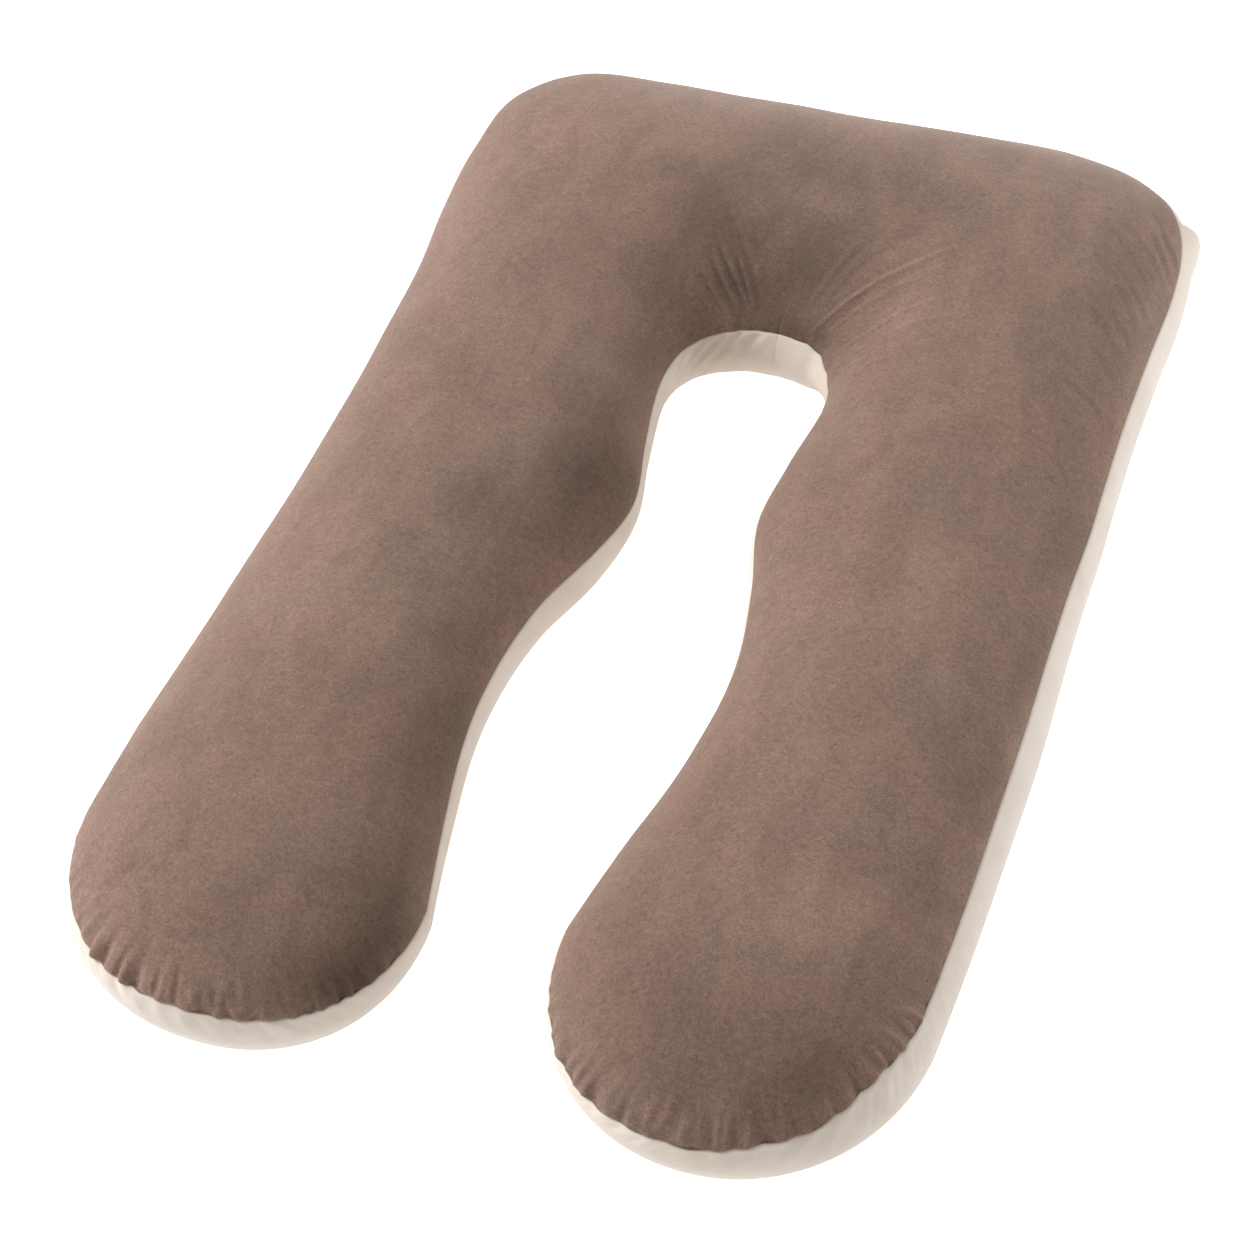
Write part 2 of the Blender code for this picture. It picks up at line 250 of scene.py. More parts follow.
# Puckers between the gathers: width and depth of the fine ones and of the narrow ridges among them,
# how far up they run, as shares of the way to the crown, and the places over which they come and go.
# On the left leg they weaken towards the outer side.
PUCKER_WIDTH, PUCKER_DEPTH = 0.0085, 0.0034
RIDGE_WIDTH, RIDGE_DEPTH = 0.019, 0.0030
RIDGE_TOP, RIDGE_STEEPNESS = 0.45, 1.8  # shape of a narrow ridge
PUCKER_REACH, PUCKER_REACH_CHANGE = 0.17, 0.09
PUCKER_PLACES = ((5, 30), (165, 200))
LEFT_STRENGTH, LEFT_WEAKENING, LEFT_WEAKENS = 1.1, 0.8, (120, 160)

# Lumps of the loose filling under the velour, as size, share and seed, and the share of the way to
# the crown where they have their full height. Short ripples across the legs, which end at the head.
LUMPS = ((0.13, 1.0, 1), (0.055, 0.45, 2), (0.024, 0.16, 4))
LUMPS_FULL = 0.14
RIPPLE_SIZE, RIPPLE_SHARE, RIPPLES_GO = (0.16, 0.030, 0.16), 0.35, (0.05, 0.3)

# Folds of the cream wall: widths, slant along the wall on the way down, depth along the legs, what
# the leg ends add to it, the places and the shares of the way down over which the folds come and go,
# and the lumps behind them
WALL_FOLD_WIDTHS = (0.016, 0.008)
WALL_SLANT = 0.035
WALL_DEPTH, WALL_DEPTH_AT_END = 0.0003, 0.0012
WALL_PLACES = ((0, 40), (150, 200))
WALL_LEVELS = ((0.0, 0.12), (0.25, 0.5))
WALL_LUMP_SIZE, WALL_LUMP_DEPTH = 0.12, 0.0006

# Middle seam of the head: half width of its groove, depth in the velour and in the jersey, and where
# the velour's pile closes over it
GROOVE_HALF_WIDTH = 0.002
VELOUR_GROOVE, JERSEY_GROOVE = 0.0005, 0.00025
GROOVE_ENDS = (0.285, 0.340)

PINCH_REACH = 0.06  # share of the way to the crown over which the seam draws the velour in
SEED_STEP = 17.3  # how far apart two seeds read the noise

# Creases drawn on the velour: depth, half width, side of the swell beside it (1 on the left
# of the way that the points run, -1 on the right), points in plan. A depth below 0 makes a ridge
# with a dip beside it.
CREASES = (
    (-0.0016, 0.0030, 1,
     ((0.052, 0.300), (0.074, 0.332), (0.104, 0.363), (0.143, 0.393), (0.178, 0.418))),
    (-0.0006, 0.0034, 1, ((0.038, 0.318), (0.049, 0.355), (0.059, 0.384), (0.074, 0.422))),
    (-0.0005, 0.0030, 1, ((0.046, 0.322), (0.058, 0.362), (0.082, 0.405), (0.108, 0.440))),
    (-0.0007, 0.0032, 1, ((0.052, 0.330), (0.069, 0.372), (0.098, 0.417))),
    (-0.0008, 0.0030, 1, ((0.062, 0.292), (0.090, 0.326), (0.130, 0.360), (0.184, 0.392))),
    (-0.0008, 0.0030, 1, ((0.078, 0.274), (0.105, 0.291), (0.144, 0.321), (0.194, 0.342))),
    (-0.0007, 0.0030, 1, ((0.088, 0.262), (0.118, 0.278), (0.158, 0.300), (0.206, 0.312))),
    (-0.0006, 0.0030, 1, ((0.093, 0.250), (0.126, 0.262), (0.173, 0.280))),
    (-0.0006, 0.0028, 1, ((0.096, 0.236), (0.128, 0.245), (0.168, 0.254))),
    (-0.0005, 0.0028, 1, ((0.098, 0.220), (0.128, 0.226), (0.158, 0.228))),
    (0.0020, 0.0030, -1, ((-0.024, 0.308), (-0.041, 0.324), (-0.058, 0.341), (-0.078, 0.364))),
    (0.0017, 0.0026, -1, ((-0.034, 0.302), (-0.057, 0.321), (-0.080, 0.347))),
    (0.0015, 0.0026, -1, ((-0.044, 0.295), (-0.065, 0.308), (-0.086, 0.324))),
    (0.0012, 0.0028, -1, ((-0.056, 0.274), (-0.070, 0.281), (-0.096, 0.296))),
    (0.0013, 0.0024, -1, ((-0.018, 0.306), (-0.036, 0.332), (-0.056, 0.360))),
    (0.0013, 0.0040, -1, ((-0.013, 0.320), (-0.034, 0.350), (-0.059, 0.383), (-0.095, 0.426))),
    (0.0013, 0.0030, 1, ((0.352, 0.573), (0.363, 0.561), (0.378, 0.530), (0.394, 0.506))),
    (0.0012, 0.0028, 1, ((0.367, 0.556), (0.381, 0.536), (0.395, 0.514))),
    (0.0013, 0.0030, 1, ((0.346, 0.552), (0.361, 0.533), (0.377, 0.509), (0.391, 0.480))),
    (0.0012, 0.0032, 1, ((0.330, 0.528), (0.352, 0.508), (0.374, 0.489), (0.388, 0.462))),
    (0.0012, 0.0034, 1, ((0.308, 0.516), (0.331, 0.497), (0.361, 0.463), (0.381, 0.429))),
    (0.0012, 0.0036, 1, ((0.290, 0.476), (0.319, 0.449), (0.352, 0.412), (0.374, 0.379))),
    (0.0012, 0.0036, 1, ((0.286, 0.402), (0.313, 0.380), (0.343, 0.355), (0.365, 0.327))),
    (0.0010, 0.0036, 1, ((0.300, 0.274), (0.319, 0.259), (0.351, 0.250), (0.371, 0.236))),
    (0.0008, 0.0036, 1, ((0.315, 0.334), (0.346, 0.316), (0.372, 0.290))),
    (0.0007, 0.0034, 1, ((0.330, 0.398), (0.356, 0.372), (0.380, 0.342))),
    (0.0009, 0.0036, 1, ((0.336, 0.452), (0.362, 0.428), (0.384, 0.398))),
    (0.0007, 0.0034, 1, ((0.344, 0.500), (0.370, 0.470), (0.388, 0.440))),
    (0.0007, 0.0034, 1, ((0.310, 0.222), (0.342, 0.204), (0.368, 0.180))),
    (0.0006, 0.0034, 1, ((0.316, 0.166), (0.344, 0.146), (0.368, 0.120))),
)

CREASE_START = 0.04  # how far into its taper a crease starts
CREASE_TAPER = 0.7
CREASE_WIDTHS = (0.8, 1.6)  # at its first and last point, in half widths
SWELL = 0.5  # share of the depth
SWELL_AT, SWELL_SPREAD = 1.7, 1.2  # in half widths

# Slack folds of the cream wall left of the neck's middle seam: distance from that seam along the
# edge, how much farther from it they run over the way down, half width, depth
NECK_WALL_FOLDS = (
    (0.014, 0.060, 0.0045, 0.0010),
    (0.034, 0.075, 0.0050, 0.0016),
    (0.048, 0.100, 0.0055, 0.0018),
    (0.074, 0.090, 0.0055, 0.0013),
    (0.098, 0.080, 0.0050, 0.0008),
)
NECK_SWELL, NECK_SWELL_AT = 0.4, 1.6  # swell beside such a fold, and its distance in half widths
NECK_LEVELS = ((0.0, 0.08), (0.45, 0.75))

# Spots where the pile lies darker or lighter, many of them painted shade and painted light, darker where
# the cloth turns from the light and lighter where it faces it: x and y of the middle in the frame, reach
# along and across, turn of the long way in degrees, change of tone
PILE_AND_PAINTED_SHADING_SPOTS = (
    (0.010, 0.330, 0.160, 0.120, 90, -0.28),
    (-0.090, 0.360, 0.130, 0.090, 110, -0.26),
    (-0.070, -0.600, 0.170, 0.075, 70, -0.50),
    (-0.075, 0.000, 0.130, 0.090, 70, -0.32),
    (-0.120, 0.070, 0.110, 0.060, 140, -0.14),
    (-0.145, 0.290, 0.100, 0.080, 0, -0.12),
    (0.030, 0.290, 0.090, 0.040, 0, -0.24),
    (-0.170, -0.090, 0.120, 0.070, 0, -0.14),
    (-0.085, -0.430, 0.200, 0.050, 85, -0.16),
    (-0.105, -0.330, 0.120, 0.050, 80, -0.28),
    (-0.260, -0.270, 0.140, 0.080, 0, 0.14),
    (-0.310, 0.460, 0.130, 0.090, 30, 0.10),
    (-0.080, 0.450, 0.140, 0.080, 60, -0.12),
    (0.080, 0.500, 0.130, 0.070, 20, -0.12),
    (0.170, -0.600, 0.180, 0.110, 120, -0.16),
    (0.280, -0.470, 0.110, 0.080, 0, 0.14),
    (0.260, -0.120, 0.180, 0.110, 60, 0.10),
    (0.395, 0.400, 0.300, 0.060, 90, 0.18),
    (-0.213, 0.054, 0.100, 0.050, 120, -0.08),
    (-0.180, -0.092, 0.070, 0.050, 90, -0.08),
    (-0.133, -0.245, 0.060, 0.030, 80, -0.15),
    (-0.186, -0.529, 0.100, 0.060, 0, -0.08),
    (-0.105, -0.635, 0.060, 0.030, 30, -0.15),
    (-0.063, -0.520, 0.060, 0.025, 85, 0.18),
    (0.160, -0.367, 0.160, 0.050, 90, -0.10),
    (0.166, -0.542, 0.100, 0.060, 100, -0.05),
    (0.252, -0.619, 0.070, 0.050, 0, -0.08),
    (-0.128, 0.131, 0.070, 0.050, 90, 0.12),
    (-0.276, -0.271, 0.110, 0.080, 0, 0.10),
    (0.183, 0.303, 0.110, 0.060, 0, 0.08),
    (0.018, 0.454, 0.060, 0.038, 0, 0.22),
    (0.072, 0.399, 0.130, 0.090, 45, -0.14),
    (-0.032, 0.524, 0.130, 0.100, 0, -0.08),
    (0.173, 0.610, 0.200, 0.060, -15, -0.10),
    (0.319, 0.616, 0.100, 0.050, -20, -0.08),
    (-0.030, 0.318, 0.055, 0.035, 0, -0.18),
    (-0.290, -0.130, 0.260, 0.070, 90, 0.07),
    (-0.120, -0.010, 0.090, 0.050, 60, -0.12),
    (-0.125, -0.530, 0.090, 0.050, 80, -0.10),
    (0.318, -0.600, 0.060, 0.035, 60, -0.22),
    (0.215, -0.650, 0.045, 0.030, 90, -0.15),
    (0.330, -0.500, 0.060, 0.040, 70, -0.12),
    (0.388, -0.170, 0.090, 0.022, 85, 0.22),
    (0.400, -0.300, 0.300, 0.050, 85, 0.14),
)

# Spots of painted shade on the jersey, with the painted brown light that the velour throws back on it,
# given the same way
PAINTED_SHADE_AND_BOUNCE_SPOTS = (
    (0.082, 0.232, 0.085, 0.055, 90, 0.65),
    (-0.035, 0.268, 0.090, 0.050, 25, 0.40),
    (0.395, 0.608, 0.045, 0.045, 0, 0.15),
)
SPOT_HEIGHT = 10.0  # reach of a spot up and down, which takes in the whole thickness

# Rings of points: shares of the way from the seam up to the crown, shares of the way down from the
# seam to the widest line, and degrees below that
TOP_RINGS = (0.0, 0.0025, 0.006, 0.010, 0.015, 0.021, 0.029, 0.039, 0.052)
TOP_RINGS_FROM = 0.068
TOP_RINGS_MORE = 48
SIDE_RINGS = (0.0, 0.02, 0.045, 0.08, 0.13, 0.19, 0.27, 0.36, 0.47, 0.6, 0.73, 0.87, 1.0)
UNDER_RINGS = (4, 9, 14, 20, 26, 32, 39, 46, 53, 60, 68, 76, 84, 90)
SHARP_DEGREES = 65  # a sharper turn than this is a cut edge

FLOOR_REACH = 12.0
FLOOR_Z = -0.0004  # a hair below the pillow, so that the two never share a plane
KEY_SIZE, FILL_SIZE = 4.2, 1.4  # diameters of the lights


def number_setting(name, description, default):
    return FloatProperty(name=name, description=description, default=default)


def length_setting(name, description, default):
    return FloatProperty(name=name, description=description, default=default, unit="LENGTH")


def power_setting(name, description, default):
    return FloatProperty(name=name, description=description, default=default, unit="POWER")


def share_setting(name, description, default, most=1.0):
    return FloatProperty(
        name=name, description=description, default=default, subtype="FACTOR", min=0.0, max=most
    )


def colour_setting(name, description, default):
    return FloatVectorProperty(
        name=name, description=description, default=default, subtype="COLOR", min=0.0, max=1.0
    )


def place_setting(name, description, default):
    return FloatVectorProperty(
        name=name, description=description, default=default, subtype="TRANSLATION"
    )


class PillowSizes(bpy.types.PropertyGroup):
    """Sizes of the stuffed body and of its folds."""

    widest_line: length_setting("Widest line", "Height of the widest line of the sides", 0.075)
    crown: length_setting(
        "Crown", "Rise of the crown above the widest line, on a leg 33 cm wide", 0.095
    )
    floor_inset: length_setting(
        "Floor inset", "How far the underside draws in on its way down to the floor", 0.122
    )
    seam_roll: length_setting(
        "Seam roll", "Radius of the turn that the cloth makes into the side seam", 0.002
    )
    seam_pinch: length_setting(
        "Seam pinch", "How far the stitching draws the cloth in beside the seam", 0.0008
    )
    gathers: share_setting(
        "Gathers", "Depth of the gathers, as a share of what the tables give", 1.0, most=2.0
    )
    creases: share_setting(
        "Creases", "Depth of the neck and edge creases, as a share of what the table gives", 1.0,
        most=2.0,
    )
    hollows: length_setting(
        "Hollows", "Height of the soft rise and fall that loose filling gives the cloth", 0.0016
    )


class PillowCloths(bpy.types.PropertyGroup):
    """Colours and finish of the two cloths."""

    velour_warm: colour_setting(
        "Velour, warm", "Velour where the pile lies towards the eye", (0.257, 0.166, 0.131)
    )
    velour_cool: colour_setting(
        "Velour, cool", "Velour where the pile lies the other way", (0.239, 0.161, 0.128)
    )
    velour_sheen: share_setting(
        "Velour sheen", "Strength of the soft sheen at the velour's edges", 0.35
    )
    jersey_light: colour_setting(
        "Jersey, light", "Cream jersey where it is stretched", (0.795, 0.727, 0.672)
    )
    jersey_dark: colour_setting(
        "Jersey, dark", "Cream jersey where it lies slack", (0.75, 0.672, 0.607)
    )
    # Painted shade and painted bounce light: darker, browner cream for the shaded neck wall and its
    # folds
    jersey_painted_shade_and_bounce: colour_setting(
        "Jersey, warm", "Cream jersey at the neck, where the velour's brown shines on it",
        (0.50, 0.40, 0.31),
    )


class PillowStudio(bpy.types.PropertyGroup):
    """Camera, light and floor."""

    camera_place: place_setting("Camera", "Where the camera stands", (0.5878, -1.9064, 2.1144))
    camera_aim: place_setting(
        "Aim", "The point that the camera looks at", (-0.0072, -0.1417, 0.09)
    )
    lens: number_setting("Lens", "Focal length of the camera in millimetres", 82.0)
    floor_colour: colour_setting("Floor", "Colour of the studio floor", (0.9, 0.9, 0.9))
    floor_glow: number_setting(
        "Floor glow", "Glow of the white floor as the camera sees it, which lifts its shadows", 0.85
    )
    floor_bounce: number_setting("Floor bounce", "Strength of that glow on the pillow", 0.45)
    key_place: place_setting("Key light place", "Where the large light stands", (-6.6, 0.3, 4.4))
    key_power: power_setting("Key light", "Power of the large light at the upper left", 640.0)
    fill_place: place_setting("Fill light place", "Where the low light stands", (2.8, 2.4, 0.8))
    fill_power: power_setting("Fill light", "Power of the low light at the right", 50.0)
    sky: number_setting("Room light", "Brightness of the room round the pillow", 0.46)
    wall_glow: number_setting(
        "Wall glow", "Brightness of the room's far walls as the camera sees them", 1.15
    )
    sky_colour: colour_setting(
        "Room colour", "Colour of the light that the room's walls give back", (1.0, 0.955, 0.89)
    )


def through_rows(rows, steps):
    """A smooth curve through the rows of a table, with the same number of steps between each two."""
    rows = np.array(rows, float)
    middle = 0.5 * (rows[:, :2] + rows[:, 2:])
    knots = np.concatenate([[0.0], np.cumsum(np.linalg.norm(np.diff(middle, axis=0), axis=1))])
    gap = np.diff(knots)[:, None]
    slope = np.diff(rows, axis=0) / gap
    tangent = np.empty_like(rows)
    tangent[1:-1] = (slope[:-1] * gap[1:] + slope[1:] * gap[:-1]) / (gap[:-1] + gap[1:])
    tangent[0] = 2.0 * slope[0] - tangent[1]
    tangent[-1] = 2.0 * slope[-1] - tangent[-2]
    t = (np.arange(steps) / steps)[None, :, None]
    start, end = rows[:-1, None], rows[1:, None]
    curve = (
        start * (1 + 2 * t) * (1 - t) ** 2
        + end * t * t * (3 - 2 * t)
        + (tangent[:-1] * gap)[:, None] * t * (1 - t) ** 2
        - (tangent[1:] * gap)[:, None] * t * t * (1 - t)
    )
    return np.vstack([curve.reshape(-1, rows.shape[1]), rows[-1:]])


def sections():
    """Inner and outer edge of every section, from the left leg over the head to the right leg."""

    def level(row):
        return (row[1], row[0], row[2], row[0])

    rows = [level(row) for row in LEFT_LEG] + list(LEFT_HEAD) + [CENTRE]
    centre = (len(rows) - 1) * STEPS_PER_ROW
    rows += list(RIGHT_HEAD)[::-1] + [level(row) for row in RIGHT_LEG][::-1]
    table = through_rows(rows, STEPS_PER_ROW)
    table += np.array([TABLE_X, TABLE_Y, TABLE_X, TABLE_Y])
    return table, centre


def run(line):
    """Length along a line of points, as shares of the whole."""
    steps = np.linalg.norm(np.diff(line, axis=0), axis=1)
    return np.concatenate([[0.0], np.cumsum(steps)]) / steps.sum()


def eased(place, rows):
    """A value read from a table of rows, eased from row to row."""
    places, values = np.array(rows, float).T
    row = np.clip(np.searchsorted(places, place, side="right") - 1, 0, len(places) - 2)
    share = (place - places[row]) / (places[row + 1] - places[row])
    return values[row] + (values[row + 1] - values[row]) * share * share * (3 - 2 * share)


def soft_noise(points, size, seed):
    """Smooth noise from -1 to 1 at each point, with lumps of a size, which may differ along the axes."""
    scaled = np.asarray(points, float).reshape(-1, 3) / np.asarray(size, float) + seed * SEED_STEP
    values = [noise.noise(Vector(point)) for point in scaled]
    return np.array(values).reshape(np.shape(points)[:-1])


def smooth_step(value, low, high):
    share = np.clip((value - low) / (high - low), 0.0, 1.0)
    return share * share * (3 - 2 * share)


def between(value, come, go):
    """1 between two ramps, and 0 before the first and after the last."""
    return smooth_step(value, *come) * (1 - smooth_step(value, *go))


class Half:
    """The shape of one half of the pillow, shared by its upper and its lower panel."""

    def __init__(self, side, sizes):
        self.side = side
        self.sizes = sizes
        self.trace_outline()
        self.target = self.middle[self.partner]
        self.radius = np.linalg.norm(self.target - self.outline, axis=1)
        self.outward = (self.outline - self.target) / self.radius[:, None]
        self.outward[[0, -1], 0] = 0.0
        half_width = self.radius[: len(self.middle)]
        self.crown = sizes.crown * (half_width / CROWN_HALF_WIDTH) ** CROWN_POWER
        self.rise = self.crown[self.partner]
        self.notches, self.depths, self.reaches, leans = np.array(
            LEFT_GATHERS if side < 0 else RIGHT_GATHERS, float
        ).T
        self.lean = np.interp(self.place, self.notches, leans)
        wave = self.gathers(np.zeros((1, len(self.place))))[0]
        seam_z = eased(self.place, LEFT_SEAM if side < 0 else RIGHT_SEAM) - wave
        self.seam_angle = np.arcsin((seam_z - sizes.widest_line) / self.rise)
        self.seam_wave = wave
        self.ear = self.ear_swell()
        self.arc = np.concatenate(
            [[0.0], np.cumsum(np.linalg.norm(np.diff(self.outline, axis=0), axis=1))]
        )

    def trace_outline(self):
        """The outline from the inner edge at the centre, round the leg end, to the outer edge at the
        centre, with the middle line, its point that each outline point draws in to, and its place."""
        side = self.side
        table, centre = sections()
        ladder = (table[: centre + 1][::-1] if side < 0 else table[centre:]).copy()
        ladder[0, 0] = ladder[0, 2] = SEAM_X + side * SEAM_GAP / 2
        inner, outer = ladder[:, :2], ladder[:, 2:]
        middle = 0.5 * (inner + outer)
        reach, lean, power = LEFT_CAP if side < 0 else RIGHT_CAP
        half = 0.5 * np.linalg.norm(outer[-1] - inner[-1])
        degrees = np.arange(CAP_STEP, 180 - CAP_STEP / 2, CAP_STEP)
        across, down = -np.cos(np.radians(degrees)), np.sin(np.radians(degrees))
        cap = np.column_stack(
            [
                side * (np.copysign(np.abs(across) ** (2 / power), across) * half - lean * down),
                -(down ** (2 / power)) * reach,
            ]
        )
        rungs = list(range(len(ladder)))
        self.outline = np.vstack([inner, middle[-1] + cap, outer[::-1]])
        self.middle = middle
        self.partner = np.array(rungs + [rungs[-1]] * len(degrees) + rungs[::-1])
        self.place = np.concatenate([run(inner) * 100 - 100, degrees, run(outer[::-1]) * 100 + 180])

    def ear_swell(self):
        """How far the cream corner at the right of the head stands out."""
        if self.side < 0:
            return np.zeros(len(self.outline))
        offset = self.outline - (np.array(EAR_PLACE) + (TABLE_X, TABLE_Y))
        away = np.linalg.norm(offset, axis=1)
        near_side = np.exp(-((away / EAR_NEAR_SPREAD) ** 2))
        fullness, roundness = EAR_FAR_POWERS
        far_side = np.maximum(1 - (away / EAR_FAR_REACH) ** fullness, 0.0) ** roundness
        round_head = offset @ np.array([-1.0, 1.0]) > 0
        return EAR_OUT * np.where(round_head, far_side, near_side)

    def gathers(self, climb):
        """Outward swell of the gathers, for rings at shares of the way up to the crown."""
        notches = self.notches
        place = self.place[None, :] - self.lean[None, :] * climb
        depth = np.interp(place, notches, self.depths) * self.sizes.gathers
        reach = np.interp(place, notches, self.reaches)
        fold = np.clip(np.searchsorted(notches, place, side="right") - 1, 0, len(notches) - 2)
        across = np.clip((place - notches[fold]) / (notches[fold + 1] - notches[fold]), 0.0, 1.0)
        skew = RIGHT_SKEW if self.side > 0 else LEFT_SKEW
        wave = 2.0 * np.sin(math.pi * across**skew) ** FOLD_POWER - 1.0
        fade = np.exp(-((climb / reach) ** 2))
        share = FOLD_AT_SEAM + (FOLD_ABOVE - FOLD_AT_SEAM) * smooth_step(climb, 0.0, FOLD_RISE)
        return depth * wave * fade * share

    def ring(self, inset, height, push):
        """Outline drawn in towards the middle line, at a height, and pushed outward."""
        plan = self.outline + (self.target - self.outline) * inset[..., None]
        plan = plan + self.outward * push[..., None]
        return np.concatenate([plan, np.broadcast_to(height, plan.shape[:-1])[..., None]], axis=-1)

    def settled(self, grid, climb):
        """Rise and fall of the top over the settled filling."""
        rise = np.zeros(grid.shape[:-1])
        for x, y, spread_x, spread_y, height in SETTLED:
            across = (grid[..., 0] - TABLE_X - x) / spread_x
            along = (grid[..., 1] - TABLE_Y - y) / spread_y
            rise += height * np.exp(-0.5 * (across**2 + along**2))
        return rise * smooth_step(climb, 0.0, SETTLED_RAMP)

    def roll(self, from_seam):
        """How far the cloth has turned in, at a distance from the seam."""
        radius = self.sizes.seam_roll
        left = 1 - np.clip(from_seam / radius, 0.0, 1.0)
        return -radius * (1 - np.sqrt(1 - left * left))

    def upper_grid(self):
        """Rings from the seam up to the crown."""
        more = np.linspace(TOP_RINGS_FROM, 1.0, TOP_RINGS_MORE)
        climb = np.concatenate([TOP_RINGS, more])[:, None] * np.ones(len(self.place))
        angle = self.seam_angle + (math.pi / 2 - self.seam_angle) * climb
        length = (math.pi / 2 - self.seam_angle) * 0.5 * (self.radius + self.rise)
        push = self.gathers(climb) * (1 - smooth_step(climb, 0.6, 1.0))
        push += self.roll(climb * length)
        push -= self.sizes.seam_pinch * np.exp(-((climb / PINCH_REACH) ** 2))
        height = self.sizes.widest_line + self.rise * np.sin(angle)
        grid = self.ring(1 - np.cos(angle), height, push)
        grid[..., 2] += self.settled(grid, climb)
        return grid, climb

    def lower_grid(self):
        """Rings from the seam down past the widest line to the floor."""
        share = np.array(SIDE_RINGS)[:, None] * np.ones(len(self.place))
        angle = self.seam_angle * (1 - share)
        ease = np.sin(math.pi / 2 * share)
        push = self.seam_wave * (1 - ease) + self.ear * ease
        push += self.roll(share * self.seam_angle * self.rise)
        push -= self.sizes.seam_pinch * (1 - ease)
        height = self.sizes.widest_line + self.rise * np.sin(angle)
        side = self.ring(1 - np.cos(angle), height, push)
        under = np.radians(np.array(UNDER_RINGS, float))[:, None] * np.ones(len(self.place))
        width = np.maximum(np.cos(under), 0.0) ** (2 / FLOOR_POWER)
        depth = np.sin(under) ** (2 / FLOOR_POWER)
        inset = self.sizes.floor_inset / self.radius * (1 - width)
        base = self.ring(inset, self.sizes.widest_line * (1 - depth), self.ear * width)
        drop = np.concatenate([share * 0.5, 0.5 + under / math.pi])
        return np.concatenate([side, base]), drop


def grid_normals(grid, outward_sign):
    """Unit normals of a grid of points, ring by ring."""
    along = np.gradient(grid, axis=1)
    up = np.gradient(grid, axis=0)
    normal = np.cross(along, up) * outward_sign
    length = np.linalg.norm(normal, axis=-1, keepdims=True)
    return normal / np.maximum(length, 1e-12)


def crease_relief(points, strength):
    """Rise and fall of the drawn creases at each point."""
    relief = np.zeros(points.shape[:-1])
    plan = points[..., :2]
    for depth, half_width, swell_side, line in CREASES:
        line = np.array(line)
        reach = 5 * half_width
        low, high = line.min(axis=0) - reach, line.max(axis=0) + reach
        near = np.all((plan > low) & (plan < high), axis=-1)
        here = plan[near]
        best = np.full(len(here), np.inf)
        signed = np.zeros(len(here))
        along = np.zeros(len(here))
        lengths = np.linalg.norm(np.diff(line, axis=0), axis=1)
        total, walked = lengths.sum(), 0.0
        for start, end, length in zip(line[:-1], line[1:], lengths):
            way = (end - start) / length
            ahead = (here - start) @ way
            held = np.clip(ahead, 0.0, length)
            offset = here - start - held[:, None] * way
            away = np.linalg.norm(offset, axis=1)
            side = way[0] * (here[:, 1] - start[1]) - way[1] * (here[:, 0] - start[0])
            closer = away < best
            best = np.where(closer, away, best)
            signed = np.where(closer, np.sign(side) * away, signed)
            along = np.where(closer, (walked + held) / total, along)
            walked += length
        into_taper = np.clip(CREASE_START + (1 - CREASE_START) * along, 0, 1)
        taper = np.sin(math.pi * into_taper) ** CREASE_TAPER
        width = half_width * np.interp(along, (0.0, 1.0), CREASE_WIDTHS)
        beside = signed * swell_side / width
        dip = -np.exp(-((best / width) ** 2))
        rise = SWELL * np.exp(-(((beside - SWELL_AT) / SWELL_SPREAD) ** 2))
        relief[near] += strength * depth * taper * (dip + rise)
    return relief


def seam_groove(grid, depth):
    """Dip of the cloth along the middle seam of the head."""
    return -depth * np.exp(-(((grid[..., 0] - SEAM_X) / GROOVE_HALF_WIDTH) ** 2))


def velour_relief(half, grid, climb):
    """Height of everything that the loose filling and the pile show above the plain velour."""
    sizes = half.sizes
    lumps = sum(share * soft_noise(grid, size, seed) for size, share, seed in LUMPS)
    on_legs = 1 - smooth_step(grid[..., 1], *RIPPLES_GO)
    ripples = RIPPLE_SHARE * soft_noise(grid, RIPPLE_SIZE, 3) * on_legs
    clear_of_seam = smooth_step(climb, 0.0, LUMPS_FULL)
    relief = sizes.hollows * (lumps + ripples) * clear_of_seam
    slide = half.arc - half.lean * CAP_METRES_PER_DEGREE * climb
    puckers = np.stack([slide, 0.25 * climb, 0.0 * climb], axis=-1)
    at_end = between(half.place, *PUCKER_PLACES)
    reach = PUCKER_REACH + PUCKER_REACH_CHANGE * soft_noise(puckers, (0.030, 1.0, 1.0), 10)
    beside_seam = at_end * np.exp(-((climb / reach) ** 2)) * smooth_step(climb, 0.0, 0.02)
    strength = 1.0
    if half.side < 0:
        strength = LEFT_STRENGTH - LEFT_WEAKENING * smooth_step(half.place, *LEFT_WEAKENS)
    fine = soft_noise(puckers, (PUCKER_WIDTH, 0.06, 1.0), 8)
    ridges = RIDGE_TOP - np.abs(soft_noise(puckers, (RIDGE_WIDTH, 0.09, 1.0), 9)) * RIDGE_STEEPNESS
    relief += (PUCKER_DEPTH * fine + RIDGE_DEPTH * ridges) * beside_seam * strength
    relief += crease_relief(grid, sizes.creases) * smooth_step(climb, 0.0, 0.06)
    return relief + seam_groove(grid, VELOUR_GROOVE) * (1 - smooth_step(grid[..., 1], *GROOVE_ENDS))


